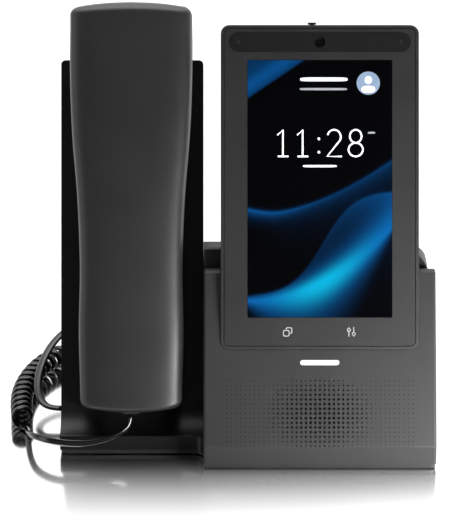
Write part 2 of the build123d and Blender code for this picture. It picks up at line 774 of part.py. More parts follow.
with BuildPart() as handset_inner_shell:
    with BuildSketch(cradle_plane):
        add(handset_outline())
    extrude(amount=handset_seam)
    add(wedge(handset_under(0, 1), cradle_x - cradle_width, cradle_x + cradle_width),
        mode=Mode.INTERSECT)
    with BuildSketch(cradle_plane.offset(-cup_rest)):
        for at, size in rests:
            with Locations((0, at)):
                RectangleRounded(*size, rest_corner)
    extrude(amount=cup_rest + cup_stand + 0.5)
    add(handset_hollow.part, mode=Mode.SUBTRACT)
    with BuildSketch(cradle_plane.offset(-cup_rest - 1)):
        with Locations((0, ear_at)):
            Circle(1.1)
            with PolarLocations(4.6, 6):
                Circle(1.1)
            with PolarLocations(9.0, 12):
                Circle(1.1)
        with Locations((-3, mouth_at), (0, mouth_at), (3, mouth_at)):
            Circle(0.8)
        with Locations(*grip_screws):
            Circle(screw_shank)
    extrude(amount=2 * handset_seam, mode=Mode.SUBTRACT)
    with BuildSketch(cradle_plane.offset(grip_hollow)):
        with Locations(*grip_screws):
            Circle(screw_head)
    extrude(amount=screw_head_height, mode=Mode.SUBTRACT)
finish(handset_inner_shell, "handset_inner_shell")


def handset_disc(name, place, radius, out, thickness):
    """A round piece inside the handset, its lower face at out."""
    with BuildPart() as disc:
        with BuildSketch(cradle_plane.offset(out)):
            with Locations(*place):
                Circle(radius)
        extrude(amount=thickness)
    finish(disc, name)


floor_out = cup_stand + handset_wall
handset_disc("ear_cloth", [(0, ear_at)], 12.5, floor_out + 0.05, 0.3)
handset_disc("earpiece_speaker", [(0, ear_at)], 13.5, floor_out + 0.4, 6)
handset_disc("handset_microphone", [(0, mouth_at)], 4.5, floor_out + 0.05, 3)
handset_disc("handset_magnets", magnet_places, magnet_radius, floor_out + 0.05, 2)

with BuildPart() as handset_screws:
    with BuildSketch(cradle_plane.offset(grip_hollow + 0.1)):
        with Locations(*grip_screws):
            Circle(screw_head - 0.1)
    extrude(amount=screw_head_height - 0.1)
    with BuildSketch(cradle_plane.offset(grip_hollow + 0.1)):
        with Locations(*grip_screws):
            Circle(screw_shank)
    extrude(amount=12)
finish(handset_screws, "handset_screws")

weight_middle = (grip_screws[0][1] + grip_screws[1][1]) / 2
weight_length = grip_screws[1][1] - grip_screws[0][1] - 2 * (boss_radius + weight_gap)
finish(leaning_box(cradle_plane, 0, weight_middle, handset_depth - handset_wall - 1,
                   weight_width, weight_length, weight_thickness), "weight_bar")

with BuildPart() as handset_jack:
    with BuildSketch(cradle_plane.offset(jack_out - port_size[1] / 2)):
        with Locations((0, handset_lift + 0.6)):
            Rectangle(port_size[0], jack_length, align=(Align.CENTER, Align.MIN))
    extrude(amount=port_size[1])
    with BuildSketch(cradle_plane.offset(jack_out - plug_height / 2 - port_gap)):
        with Locations((0, handset_lift)):
            Rectangle(plug_width + 2 * port_gap, plug_length + 0.6,
                      align=(Align.CENTER, Align.MIN))
    extrude(amount=plug_height + 2 * port_gap, mode=Mode.SUBTRACT)
finish(handset_jack, "handset_jack")

# ---------------------------------------------------------------- curly cord
with BuildPart() as cord_plug_handset:
    with BuildSketch(cradle_plane.offset(jack_out - plug_height / 2)):
        with Locations((0, handset_lift - plug_stands)):
            Rectangle(plug_width, plug_length, align=(Align.CENTER, Align.MIN))
    extrude(amount=plug_height)
finish(cord_plug_handset, "cord_plug_handset")

with BuildPart() as cord_plug_base:
    with Locations((cradle_left - plug_stands, front + port_depth, port_height)):
        Box(plug_length, plug_width, plug_height,
            align=(Align.MIN, Align.CENTER, Align.CENTER))
finish(cord_plug_base, "cord_plug_base")

# Routes as (across, depth from the chin, height), chosen by hand.
coil_height = coil_diameter / 2 + 0.2
stub_start = handset_lift - plug_stands
front_tail = [
    (cradle_x, *on_cradle(stub_start, jack_out)),
    (cradle_x, *on_cradle(stub_start - cord_stub, jack_out)),
    (-59.0, 12.6, 13.4), (-65.6, 9.9, 11.1), (-74.8, 7.4, 10.0), (-84.8, 7.0, 10.2),
    (-94.2, 10.4, 10.1), (-101.4, 17.4, 9.0), (-106.2, 26.4, 7.4),
    (-108.15, 35.45, coil_height), (-109.2, 44.3, coil_height)]
coil_route = [
    (-109.2, 44.3, coil_height), (-111.3, 62.0, coil_height), (-111.0, 80.0, coil_height),
    (-107.0, 99.5, coil_height), (-99.0, 116.5, coil_height), (-86.0, 127.5, coil_height),
    (-69.0, 131.5, coil_height), (-50.0, 131.0, coil_height), (-33.5, 129.5, coil_height),
    (-17.0, 127.6, coil_height)]
rear_tail = [
    (-17.0, 127.6, coil_height), (-8.75, 126.65, coil_height), (0.0, 128.0, 4.2),
    (6.0, 134.4, 2.8), (6.8, 143.8, 2.4), (1.0, 151.4, 2.4), (-8.5, 154.4, 2.6),
    (-20.0, 154.2, 3.5), (-32.0, 151.2, 6.0), (-44.0, 146.0, 10.5), (-55.5, 139.6, 15.8),
    (-67.0, 132.4, 20.4), (-79.0, 124.0, 23.2), (-90.2, 114.0, 23.8), (-97.4, 103.0, 20.6),
    (-101.6, 90.0, 17.0), (-103.4, 76.5, 13.6), (-102.8, 64.0, 10.4), (-99.8, 54.8, 8.6),
    (cradle_left - plug_stands - cord_stub, port_depth, port_height),
    (cradle_left - plug_stands, port_depth, port_height)]


def cord_tube(name, route, diameter):
    """A round tube of straight runs joined by arcs as large as the runs allow."""
    points = [Vector(x, front + depth, height) for x, depth, height in route]
    radii = []
    for before, at, after in zip(points, points[1:], points[2:]):
        run = min((at - before).length, (after - at).length)
        turn = radians((at - before).get_angle(after - at))
        radii.append(0.45 * run / tan(turn / 2))
    with BuildPart() as tube:
        with BuildLine() as line:
            FilletPolyline(*points, radius=radii)
        with BuildSketch(Plane(origin=line.line @ 0, z_dir=line.line % 0)):
            Circle(diameter / 2)
        sweep()
    finish(tube, name)
    section = pi * diameter ** 2 / 4
    length = sum(edge.length for edge in line.edges())
    print(name, "length", round(length, 1),
          "volume share", round(tube.part.volume / (section * length), 3),
          "radii", [round(radius, 1) for radius in radii])


cord_tube("cord_front_tail", front_tail, cord_width)
cord_tube("cord_coil", coil_route, coil_diameter)
cord_tube("cord_rear_tail", rear_tail, cord_width)
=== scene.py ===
import math

import bpy
import numpy as np
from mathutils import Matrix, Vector


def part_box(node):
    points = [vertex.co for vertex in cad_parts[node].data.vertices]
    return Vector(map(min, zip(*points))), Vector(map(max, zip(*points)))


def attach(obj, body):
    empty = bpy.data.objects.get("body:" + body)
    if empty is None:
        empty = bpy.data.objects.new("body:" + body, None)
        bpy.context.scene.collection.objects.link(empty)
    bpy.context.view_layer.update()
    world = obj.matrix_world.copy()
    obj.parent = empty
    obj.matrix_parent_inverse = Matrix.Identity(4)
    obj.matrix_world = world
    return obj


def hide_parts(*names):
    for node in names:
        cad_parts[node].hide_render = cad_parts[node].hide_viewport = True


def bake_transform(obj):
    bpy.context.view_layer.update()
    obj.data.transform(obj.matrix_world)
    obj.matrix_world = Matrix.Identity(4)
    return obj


# Looks of a desk IP phone, over its CAD frame. Metres, +X right, +Y back, +Z up.

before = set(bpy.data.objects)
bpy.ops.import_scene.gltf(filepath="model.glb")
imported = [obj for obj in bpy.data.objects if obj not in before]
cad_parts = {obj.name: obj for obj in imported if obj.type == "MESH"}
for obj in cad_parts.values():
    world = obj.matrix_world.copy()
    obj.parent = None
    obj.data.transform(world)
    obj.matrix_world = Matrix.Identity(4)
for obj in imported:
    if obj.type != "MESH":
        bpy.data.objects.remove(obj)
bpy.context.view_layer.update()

MM = 0.001
LEAN = math.radians(22)  # of the display and the cradle, back from upright
FACE_LEAN = math.radians(26)

body_low, body_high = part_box("base_front_shell")
cradle_low, cradle_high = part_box("cradle_front")
body_x = (body_low.x + body_high.x) / 2
cradle_x = (cradle_low.x + cradle_high.x) / 2
cradle_left = cradle_low.x
front = body_low.y
chin_height = 12.0 * MM
face_foot = (front, chin_height)
panel_seat = 45.7 * MM
panel_proud = 0.25 * MM
panel_foot = (front + panel_seat * math.sin(FACE_LEAN) - panel_proud * math.cos(LEAN),
              chin_height + panel_seat * math.cos(FACE_LEAN) + panel_proud * math.sin(LEAN))
cradle_foot = (front + 27.8 * MM, 9.9 * MM)
handset_lift = 6.9 * MM
handset_length = 195.4 * MM
handset_depth = 29.5 * MM
handset_seam = 8.65 * MM
display_size = (68.5 * MM, 121.8 * MM)
display_base = 15.1 * MM
glass_out = -0.15 * MM
bezel_out = -0.1 * MM


def leaning(foot, lean, centre, x, y, out):
    """Points on a leaning plane: x across, y up the slope and out from it, as a row of three."""
    x, y, out = np.broadcast_arrays(np.asarray(x, float), y, out)
    return np.stack([centre + x,
                     foot[0] + y * math.sin(lean) - out * math.cos(lean),
                     foot[1] + y * math.cos(lean) + out * math.sin(lean)], axis=-1)


def on_panel(x, y, out):
    return leaning(panel_foot, LEAN, body_x, x, y, out)


def on_cradle(x, y, out):
    return leaning(cradle_foot, LEAN, cradle_x, x, y, out)


def on_face(x, y, out):
    return leaning(face_foot, FACE_LEAN, body_x, x, y, out)


# ---------------------------------------------------------------- camera
camera_place = (-9.07 * MM, -1224.0 * MM, 578.7 * MM)  # 1.3 m from the display, square to it
camera_data = bpy.data.cameras.new("camera")
camera_data.sensor_fit = "VERTICAL"
camera_data.sensor_height = 24
camera_data.lens = 125.9
camera = bpy.data.objects.new("camera", camera_data)
camera.location = camera_place
camera.rotation_euler = (math.radians(90) - LEAN, 0, 0)
bpy.context.collection.objects.link(camera)
bpy.context.scene.camera = camera


# ---------------------------------------------------------------- meshes
def superellipse(angle, power):
    """Across and up at an angle on a superellipse: the cosine and the sine, each to 2 / power."""
    across = np.sign(np.cos(angle)) * np.abs(np.cos(angle)) ** (2 / power)
    up = np.sign(np.sin(angle)) * np.abs(np.sin(angle)) ** (2 / power)
    return across, up


def grid_faces(rows, columns, close_columns=False):
    """Corners of the quads between neighbouring points of a rows by columns grid."""
    index = np.arange(rows * columns).reshape(rows, columns)
    if close_columns:
        index = np.concatenate([index, index[:, :1]], axis=1)
    quads = np.stack([index[:-1, :-1], index[:-1, 1:], index[1:, 1:], index[1:, :-1]], axis=-1)
    return quads.reshape(-1, 4).tolist()


def new_piece(name, points, faces, material, body, smooth=True):
    """One mesh object from its points and faces, riding on a body."""
    mesh = bpy.data.meshes.new(name)
    mesh.from_pydata(np.asarray(points, float).reshape(-1, 3).tolist(), [], faces)
    mesh.polygons.foreach_set("use_smooth", np.full(len(mesh.polygons), smooth))
    mesh.materials.append(material)
    mesh.update()
    piece = bpy.data.objects.new(name, mesh)
    bpy.context.collection.objects.link(piece)
    if body:
        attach(piece, body)
    return piece


# ---------------------------------------------------------------- materials
def shader(name, colour, roughness, **sockets):
    """A Principled material; keyword sockets are set by their own names."""
    material = bpy.data.materials.new(name)
    material.use_nodes = True
    nodes, links = material.node_tree.nodes, material.node_tree.links
    surface = nodes["Principled BSDF"]
    surface.inputs["Base Color"].default_value = (*colour, 1)
    surface.inputs["Roughness"].default_value = roughness
    for socket, value in sockets.items():
        surface.inputs[socket.replace("_", " ")].default_value = value
    place = nodes.new("ShaderNodeTexCoord")
    return material, nodes, links, surface, place.outputs["Object"]


def grain(nodes, links, place, surface, scale, height, detail=4):
    """Fine bumps from noise: scale in waves a metre, height in metres."""
    noise = nodes.new("ShaderNodeTexNoise")
    noise.inputs["Scale"].default_value = scale
    noise.inputs["Detail"].default_value = detail
    links.new(place, noise.inputs["Vector"])
    bump = nodes.new("ShaderNodeBump")
    bump.inputs["Distance"].default_value = height
    links.new(noise.outputs["Fac"], bump.inputs["Height"])
    links.new(bump.outputs["Normal"], surface.inputs["Normal"])
    return noise


def vary(nodes, links, source, target, low, high, near=0.35, far=0.65):
    """Drive a socket between two values or colours from a pattern."""
    ramp = nodes.new("ShaderNodeValToRGB")
    ramp.color_ramp.elements[0].position = near
    ramp.color_ramp.elements[1].position = far
    for element, value in zip(ramp.color_ramp.elements, (low, high)):
        element.color = (*value, 1) if hasattr(value, "__len__") else (value, value, value, 1)
    links.new(source, ramp.inputs["Fac"])
    links.new(ramp.outputs["Color"], target)


def patch_noise(nodes, links, place, scale, detail=3):
    """A soft pattern of patches, scale in waves a metre."""
    noise = nodes.new("ShaderNodeTexNoise")
    noise.inputs["Scale"].default_value = scale
    noise.inputs["Detail"].default_value = detail
    links.new(place, noise.inputs["Vector"])
    return noise.outputs["Fac"]


def moulded(name, colour, roughness, grain_scale=2600, grain_height=0.012 * MM, **sockets):
    """Moulded plastic: a spark-eroded grain and a slight change of gloss from place to place."""
    gloss_change = 0.03
    material, nodes, links, surface, place = shader(name, colour, roughness, **sockets)
    grain(nodes, links, place, surface, grain_scale, grain_height)
    wide = patch_noise(nodes, links, place, scale=35)
    vary(nodes, links, wide, surface.inputs["Roughness"],
         roughness - gloss_change, roughness + gloss_change)
    fine = patch_noise(nodes, links, place, scale=900)
    darker = [c * 0.9 for c in colour]
    lighter = [c * 1.12 for c in colour]
    vary(nodes, links, fine, surface.inputs["Base Color"], darker, lighter)
    return material


def polished(name, colour, roughness, **sockets):
    """Smooth hard surface with a trace of handling marks in its gloss."""
    material, nodes, links, surface, place = shader(name, colour, roughness, **sockets)
    smears = patch_noise(nodes, links, place, scale=60, detail=6)
    vary(nodes, links, smears, surface.inputs["Roughness"], roughness, roughness + 0.05)
    return material


def plated(name, colour, roughness, stretch=(40, 900, 900)):
    """Rolled or plated metal: fine lines along X in its gloss and surface."""
    material, nodes, links, surface, place = shader(name, colour, roughness, Metallic=1)
    mapping = nodes.new("ShaderNodeMapping")
    mapping.inputs["Scale"].default_value = stretch
    links.new(place, mapping.inputs["Vector"])
    noise = grain(nodes, links, mapping.outputs["Vector"], surface, scale=1.5, height=0.01 * MM)
    vary(nodes, links, noise.outputs["Fac"], surface.inputs["Roughness"],
         roughness - 0.06, roughness + 0.1)
    return material


def circuit_board(name):
    """Solder mask over copper tracks, with bare pads at the crossings."""
    green, track, pad = (0.008, 0.075, 0.035), (0.012, 0.13, 0.06), (0.62, 0.5, 0.28)
    material, nodes, links, surface, place = shader(name, green, 0.3, Coat_Weight=0.4)
    bricks = nodes.new("ShaderNodeTexBrick")
    bricks.inputs["Scale"].default_value = 260
    bricks.inputs["Mortar Size"].default_value = 0.06
    bricks.inputs["Color1"].default_value = (*green, 1)
    bricks.inputs["Color2"].default_value = (*green, 1)
    bricks.inputs["Mortar"].default_value = (*track, 1)
    links.new(place, bricks.inputs["Vector"])
    dots = nodes.new("ShaderNodeTexVoronoi")
    dots.inputs["Scale"].default_value = 220
    links.new(place, dots.inputs["Vector"])
    inside = nodes.new("ShaderNodeMath")
    inside.operation = "LESS_THAN"
    inside.inputs[1].default_value = 0.12
    links.new(dots.outputs["Distance"], inside.inputs[0])
    mix = nodes.new("ShaderNodeMix")
    mix.data_type = "RGBA"
    first_colour, second_colour, mixed_colour = 6, 7, 2  # the sockets that hold colours
    links.new(inside.outputs[0], mix.inputs["Factor"])
    links.new(bricks.outputs["Color"], mix.inputs[first_colour])
    mix.inputs[second_colour].default_value = (*pad, 1)
    links.new(mix.outputs[mixed_colour], surface.inputs["Base Color"])
    return material


def woven(name, colour, threads=2400):
    """Plain weave: two crossed waves, raised where threads pass over, with painted shade: the colour
    is darker in the hollows between threads and lighter where they pass over.
    """
    material, nodes, links, surface, place = shader(name, colour, 0.9, Sheen_Weight=0.3)
    waves = []
    for direction in ("X", "Z"):
        wave = nodes.new("ShaderNodeTexWave")
        wave.bands_direction = direction
        wave.inputs["Scale"].default_value = threads / math.tau
        links.new(place, wave.inputs["Vector"])
        waves.append(wave.outputs["Fac"])
    over = nodes.new("ShaderNodeMath")
    over.operation = "MULTIPLY"
    links.new(waves[0], over.inputs[0])
    links.new(waves[1], over.inputs[1])
    bump = nodes.new("ShaderNodeBump")
    bump.inputs["Distance"].default_value = 0.08 * MM
    links.new(over.outputs[0], bump.inputs["Height"])
    links.new(bump.outputs["Normal"], surface.inputs["Normal"])
    # Painted shade: the colour follows the weave's height, darker in the hollows and lighter on the
    # threads that pass over.
    vary(nodes, links, over.outputs[0], surface.inputs["Base Color"],
         [c * 0.5 for c in colour], [c * 1.6 for c in colour])
    return material


def glowing(name, colour, strength):
    """A lit diffuser: even light under a frosted surface."""
    material, nodes, links, surface, place = shader(
        name, (0.4, 0.41, 0.42), 0.5, Emission_Color=(*colour, 1), Emission_Strength=strength)
    grain(nodes, links, place, surface, scale=3000, height=0.005 * MM)
    return material


def screen_picture(name):
    """The lit picture: its colours come with the mesh, under smooth cover glass."""
    material, nodes, links, surface, _ = shader(
        name, (0.001, 0.001, 0.001), 0.08, Emission_Strength=1.0, Specular_IOR_Level=0.04)
    colours = nodes.new("ShaderNodeVertexColor")
    colours.layer_name = "picture"
    links.new(colours.outputs["Color"], surface.inputs["Emission Color"])
    return material


def printed(name, colour, glow):
    """Icon ink or lit glyphs, flat and even apart from a trace of grain."""
    material, nodes, links, surface, place = shader(
        name, colour, 0.5, Emission_Color=(*colour, 1), Emission_Strength=glow)
    fine = patch_noise(nodes, links, place, scale=1500)
    vary(nodes, links, fine, surface.inputs["Roughness"], 0.45, 0.55)
    return material


base_black = moulded("base_black", (0.013, 0.013, 0.014), 0.55)
rear_black = moulded("rear_black", (0.009, 0.009, 0.01), 0.44, Specular_IOR_Level=0.35)
cradle_black = moulded("cradle_black", (0.005, 0.005, 0.0055), 0.42, Specular_IOR_Level=0.3)
plate_black = moulded("plate_black", (0.012, 0.012, 0.013), 0.5)
handset_satin = moulded("handset_satin", (0.013, 0.013, 0.0145), 0.48, grain_scale=3200,
                        grain_height=0.008 * MM)
bezel_black = moulded("bezel_black", (0.0105, 0.0105, 0.011), 0.55, grain_scale=3400,
                      Specular_IOR_Level=0.42)
frame_black = moulded("frame_black", (0.012, 0.012, 0.0125), 0.5)
strip_gloss = polished("strip_gloss", (0.012, 0.012, 0.013), 0.08)
knob_gloss = polished("knob_gloss", (0.01, 0.01, 0.011), 0.3)
cover_glass = polished("cover_glass", (0.003, 0.003, 0.004), 0.05)
lens_glass = polished("lens_glass", (0.01, 0.012, 0.02), 0.03, Coat_Weight=1.0)
light_lens = glowing("light_lens", (1.0, 1.0, 1.0), 0.72)
foot_rubber = moulded("foot_rubber", (0.012, 0.012, 0.012), 0.8, grain_scale=1800)
cord_black = polished("cord_black", (0.003, 0.003, 0.0035), 0.16, Specular_IOR_Level=0.4)
plug_smoke = polished("plug_smoke", (0.03, 0.03, 0.032), 0.15)
zinc_steel = plated("zinc_steel", (0.56, 0.57, 0.58), 0.3)
magnet_nickel = plated("magnet_nickel", (0.6, 0.59, 0.56), 0.2)
module_metal = plated("module_metal", (0.62, 0.63, 0.65), 0.35)
brass = plated("brass", (0.7, 0.5, 0.22), 0.28)
board_green = circuit_board("board_green")
cloth_black = woven("cloth_black", (0.012, 0.012, 0.012))
socket_black = moulded("socket_black", (0.012, 0.012, 0.013), 0.48)
icon_grey = printed("icon_grey", (0.42, 0.43, 0.44), 0.12)
glyph_white = printed("glyph_white", (0.85, 0.87, 0.9), 0.95)
bar_white = printed("bar_white", (0.6, 0.62, 0.66), 0.7)
bar_dim = printed("bar_dim", (0.22, 0.23, 0.25), 0.7)
avatar_blue = printed("avatar_blue", (0.14, 0.19, 0.27), 0.8)
dot_shadow = moulded("dot_shadow", (0.004, 0.004, 0.004), 0.9, Specular_IOR_Level=0.05)

finishes = {
    "base_front_shell": base_black, "rear_housing": rear_black, "cradle_front": cradle_black,
    "cradle_back": cradle_black, "base_plate": plate_black, "rubber_feet": foot_rubber,
    "handset_outer_shell": handset_satin, "handset_inner_shell": handset_satin,
    "panel_frame": frame_black, "panel_back": rear_black, "front_bezel": bezel_black,
    "camera_strip": strip_gloss, "shutter_blade": knob_gloss, "shutter_knob": knob_gloss,
    "display_glass": cover_glass, "camera_lens": lens_glass, "light_bar": light_lens,
    "cord_plug_handset": plug_smoke, "cord_plug_base": plug_smoke,
    "cord_front_tail": cord_black, "cord_coil": cord_black, "cord_rear_tail": cord_black,
    "base_screws": zinc_steel, "panel_screws": zinc_steel, "handset_screws": zinc_steel,
    "panel_bracket": zinc_steel, "ballast_plate": zinc_steel, "weight_bar": zinc_steel,
    "speaker_basket": zinc_steel, "earpiece_speaker": module_metal,
    "cradle_magnets": magnet_nickel, "handset_magnets": magnet_nickel,
    "speaker_magnet": magnet_nickel, "lcd_module": module_metal,
    "handset_microphone": module_metal, "microphones": module_metal,
    "main_board": board_green, "light_board": board_green, "display_board": board_green,
    "camera_board": board_green, "touch_key_board": board_green, "board_standoffs": brass,
    "speaker_cloth": cloth_black, "ear_cloth": cloth_black, "speaker_cone": socket_black,
    "handset_port": socket_black, "network_port": socket_black, "handset_jack": socket_black,
    "camera_module": socket_black, "hook_sensor": socket_black,
}
for node, material in finishes.items():
    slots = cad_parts[node].data.materials
    slots.clear()
    slots.append(material)

# ---------------------------------------------------------------- curly cord
cord_width = 4.0 * MM
cord_thickness = 2.3 * MM
coil_radius = 4.4 * MM  # of the cord's middle line round the coil's
coil_turns = 27.35
points_a_turn = 16
jack_out = 14.2 * MM
plug_stands = 0.5 * MM
cord_stub = 5.0 * MM
port_depth = 52.0 * MM
port_height = 7.6 * MM
first_angle = math.radians(-100)  # where the tail joins the first turn, seen from the front
lay_over = 12 * MM  # past the coil, the cord turns over from its last turn within this
lay_level = 10 * MM  # and then settles level within this


def route(points):
    """Points given across, in depth from the chin and in height, in millimetres."""
    return np.array(points) * MM + (0, front, 0)


handset_exit = on_cradle(0, handset_lift - plug_stands, jack_out)
stub_end = on_cradle(0, handset_lift - plug_stands - cord_stub, jack_out)
base_exit = np.array([cradle_left - plug_stands, front + port_depth, port_height])
front_tail = np.concatenate([[handset_exit, stub_end], route([
    (-59.0, 12.6, 13.4), (-65.6, 9.9, 11.1), (-74.8, 7.4, 10.0), (-84.8, 7.0, 10.2),
    (-94.2, 10.4, 10.1), (-101.4, 17.4, 9.0), (-104.6, 26.3, 6.0), (-105.8, 34.0, 3.0),
    (-106.6, 39.8, 1.8), (-108.1, 43.0, 1.45)])])
coil_route = route([
    (-109.2, 44.3, 5.8), (-111.3, 62.0, 5.8), (-111.0, 80.0, 5.8), (-107.0, 99.5, 5.8),
    (-99.0, 116.5, 5.8), (-86.0, 127.5, 5.8), (-69.0, 131.5, 5.8), (-50.0, 131.0, 5.8),
    (-33.5, 129.5, 5.8), (-17.0, 127.6, 5.8)])
rear_tail = np.concatenate([route([
    (-16.2, 126.4, 10.5), (-14.4, 124.5, 9.7), (-11.4, 124.1, 7.6), (-7.0, 125.2, 5.2),
    (0.0, 128.0, 3.6), (6.0, 134.4, 2.8), (6.8, 143.8, 2.4),
    (1.0, 151.4, 2.4), (-8.5, 154.4, 2.6), (-20.0, 154.2, 3.5), (-32.0, 151.2, 6.0),
    (-44.0, 146.0, 10.5), (-55.5, 139.6, 15.8), (-67.0, 132.4, 20.4), (-79.0, 124.0, 23.2),
    (-90.2, 114.0, 23.8), (-97.4, 103.0, 20.6), (-101.6, 90.0, 17.0), (-103.4, 76.5, 13.6),
    (-102.8, 64.0, 10.4), (-99.8, 54.8, 8.6)]),
    [base_exit - (cord_stub, 0, 0), base_exit]])


def spline_points(name, points, resolution=6):
    """Points along the NURBS curve of order 3 that has the given control points."""
    data = bpy.data.curves.new(name, "CURVE")
    data.dimensions = "3D"
    data.resolution_u = resolution
    spline = data.splines.new("NURBS")
    spline.points.add(len(points) - 1)
    spline.points.foreach_set("co", np.column_stack([points, np.ones(len(points))]).ravel())
    spline.order_u = 3
    spline.use_endpoint_u = True
    curve = bpy.data.objects.new(name, data)
    bpy.context.collection.objects.link(curve)
    mesh = bpy.data.meshes.new_from_object(curve)
    line = np.empty(len(mesh.vertices) * 3)
    mesh.vertices.foreach_get("co", line)
    bpy.data.objects.remove(curve)
    return line.reshape(-1, 3)


def distance_along(line):
    """How far each point is along a line: the running sum of its steps."""
    steps = np.linalg.norm(np.diff(line, axis=0), axis=1)
    return np.concatenate([[0], np.cumsum(steps)])


def unit(vectors):
    """Each vector over its length."""
    return vectors / np.linalg.norm(vectors, axis=-1, keepdims=True)


def read_off(at, places, rows):
    """Rows given at places along a scale, read off with straight lines in between."""
    return np.column_stack([np.interp(at, places, column) for column in np.array(rows).T])


def coil_turn_points():
    """A helix: the coil's middle line plus a circle square to it that turns steadily."""
    middle = spline_points("coil_route", coil_route, 24)
    along = distance_along(middle)
    share = np.linspace(0, 1, int(coil_turns * points_a_turn) + 1)
    centre = read_off(share * along[-1], along, middle)
    ahead = unit(np.gradient(centre, axis=0))
    right = unit(np.cross(ahead, (0, 0, 1)))
    turn = (first_angle - math.tau * coil_turns * share)[:, None]
    return centre + coil_radius * (np.cos(turn) * right + np.sin(turn) * (0, 0, 1)), ahead


helix, coil_ahead = coil_turn_points()
cord_line = spline_points("cord_route", np.concatenate([front_tail, helix, rear_tail]), 4)
cord_distance = distance_along(cord_line)
coil_from = cord_distance[np.argmin(np.linalg.norm(cord_line - helix[0], axis=1))]
coil_to = cord_distance[np.argmin(np.linalg.norm(cord_line - helix[-1], axis=1))]


def cord_flat_direction():
    """Which way the cord's width lies: along the coil's axis in the turns, upright on the
    front tail, and level on the rear tail, turning evenly in between."""
    travel = unit(np.gradient(cord_line, axis=0))
    start = read_off(cord_distance, [0, 0.35 * coil_from, 0.85 * coil_from, coil_from],
                     [(0.2, 0.6, -0.75), (0, 0.3, -1), (0.5, 0, -0.85), tuple(coil_ahead[0])])
    share = np.clip((cord_distance - coil_from) / (coil_to - coil_from), 0, 1)
    turns = read_off(share, np.linspace(0, 1, len(coil_ahead)), coil_ahead)
    finish = read_off(cord_distance, [coil_to, coil_to + lay_over],
                      [tuple(coil_ahead[-1]), (0.2, -1, 0)])
    level = np.cross(travel, (0, 0, 1))
    past = np.clip((cord_distance - coil_to - lay_over) / lay_level, 0, 1)[:, None]
    finish = finish * (1 - past) + level * past
    flat = np.where((cord_distance < coil_from)[:, None], start,
                    np.where((cord_distance > coil_to)[:, None], finish, turns))
    return unit(flat - travel * np.sum(flat * travel, axis=1, keepdims=True)), travel


def make_cord():
    """A flattened ellipse carried along the cord's line."""
    flat, travel = cord_flat_direction()
    thin = np.cross(travel, flat)
    around = np.linspace(0, math.tau, 14, endpoint=False)
    across = np.cos(around) * cord_width / 2
    through = np.sin(around) * cord_thickness / 2
    rings = (cord_line[:, None, :] + across[None, :, None] * flat[:, None, :]
             + through[None, :, None] * thin[:, None, :])
    rows, columns = rings.shape[:2]
    faces = grid_faces(rows, columns, True)
    faces.append(list(range(columns))[::-1])
    faces.append(list(range((rows - 1) * columns, rows * columns)))
    return new_piece("curly_cord", rings, faces, cord_black, None)


cord = make_cord()
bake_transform(cord)
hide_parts("cord_front_tail", "cord_coil", "cord_rear_tail")


# ---------------------------------------------------------------- handset
handset_widths = np.array([(0, 24.2), (9, 24.2), (38, 24.8), (69, 24.3), (102, 25.5), (134, 28.0),
                           (162, 29.0), (186.4, 28.9), (195.4, 28.9)]) * MM
top_round, foot_round = 6.0 * MM, 3.0 * MM  # the ends roll over to the front within these
edge_power = 7.0
roll_power = 2.6
end_crown = 2.2 * MM  # the ends bow out by this in the middle
crown_reach = 26 * MM  # and the bow fades away within this
corner_round = 5.0 * MM
arch_middle = 100.0 * MM  # the front bows out most here
arch_drop = 9.0 * MM  # its fall over one whole length
side_fall = 0.1  # the front falls away to its sides by this share


def smooth_through(places, values, at):
    """A smooth curve through given values: cubic Hermite pieces with averaged slopes."""
    slopes = np.gradient(values, places)
    piece = np.clip(np.searchsorted(places, at) - 1, 0, len(places) - 2)
    step = places[piece + 1] - places[piece]
    t = (at - places[piece]) / step
    return ((2 * t**3 - 3 * t**2 + 1) * values[piece] + (t**3 - 2 * t**2 + t) * step * slopes[piece]
            + (3 * t**2 - 2 * t**3) * values[piece + 1] + (t**3 - t**2) * step * slopes[piece + 1])


def make_handset_skin():
    """Superellipse sections of power 7 from seam to seam, whose height follows a shallow
    parabola along the handset and rolls off at both ends by a superellipse of power 2.6,
    and whose width takes a round corner there."""
    rounding = np.linspace(0, 1, 26) ** 1.6
    middle = np.linspace(foot_round, handset_length - top_round, 110)[1:-1]
    along = np.concatenate([rounding * foot_round, middle,
                            handset_length - rounding[::-1] * top_round])
    inward = np.minimum(along, handset_length - along)
    upper = along > handset_length / 2
    roll = np.clip(inward / np.where(upper, top_round, foot_round), 0, 1)
    height = (1 - (1 - roll) ** roll_power) ** (1 / roll_power)
    corner = np.clip(inward / corner_round, 0, 1)
    half = (smooth_through(handset_widths[:, 0], handset_widths[:, 1], along)
            - corner_round * (1 - np.sqrt(1 - (1 - corner) ** 2)))
    angle = np.linspace(math.pi, 0, 121)
    across, rise = superellipse(angle, edge_power)
    crowned = rise - side_fall * across ** 2 * rise
    x = half[:, None] * across[None, :]
    arch = arch_drop * ((along - arch_middle) / handset_length) ** 2
    full = handset_depth - handset_seam - arch[:, None]
    out = handset_seam + full * height[:, None] * crowned[None, :]
    crown = end_crown * across[None, :] ** 2
    fade = np.clip(1 - inward / crown_reach, 0, 1)[:, None]
    y = handset_lift + along[:, None] - np.where(upper, 1, -1)[:, None] * crown * fade
    points = on_cradle(x, y, out)
    return new_piece("handset_skin", points, grid_faces(*points.shape[:2]), handset_satin,
                     "handset")


handset_skin = make_handset_skin()
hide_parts("handset_outer_shell")


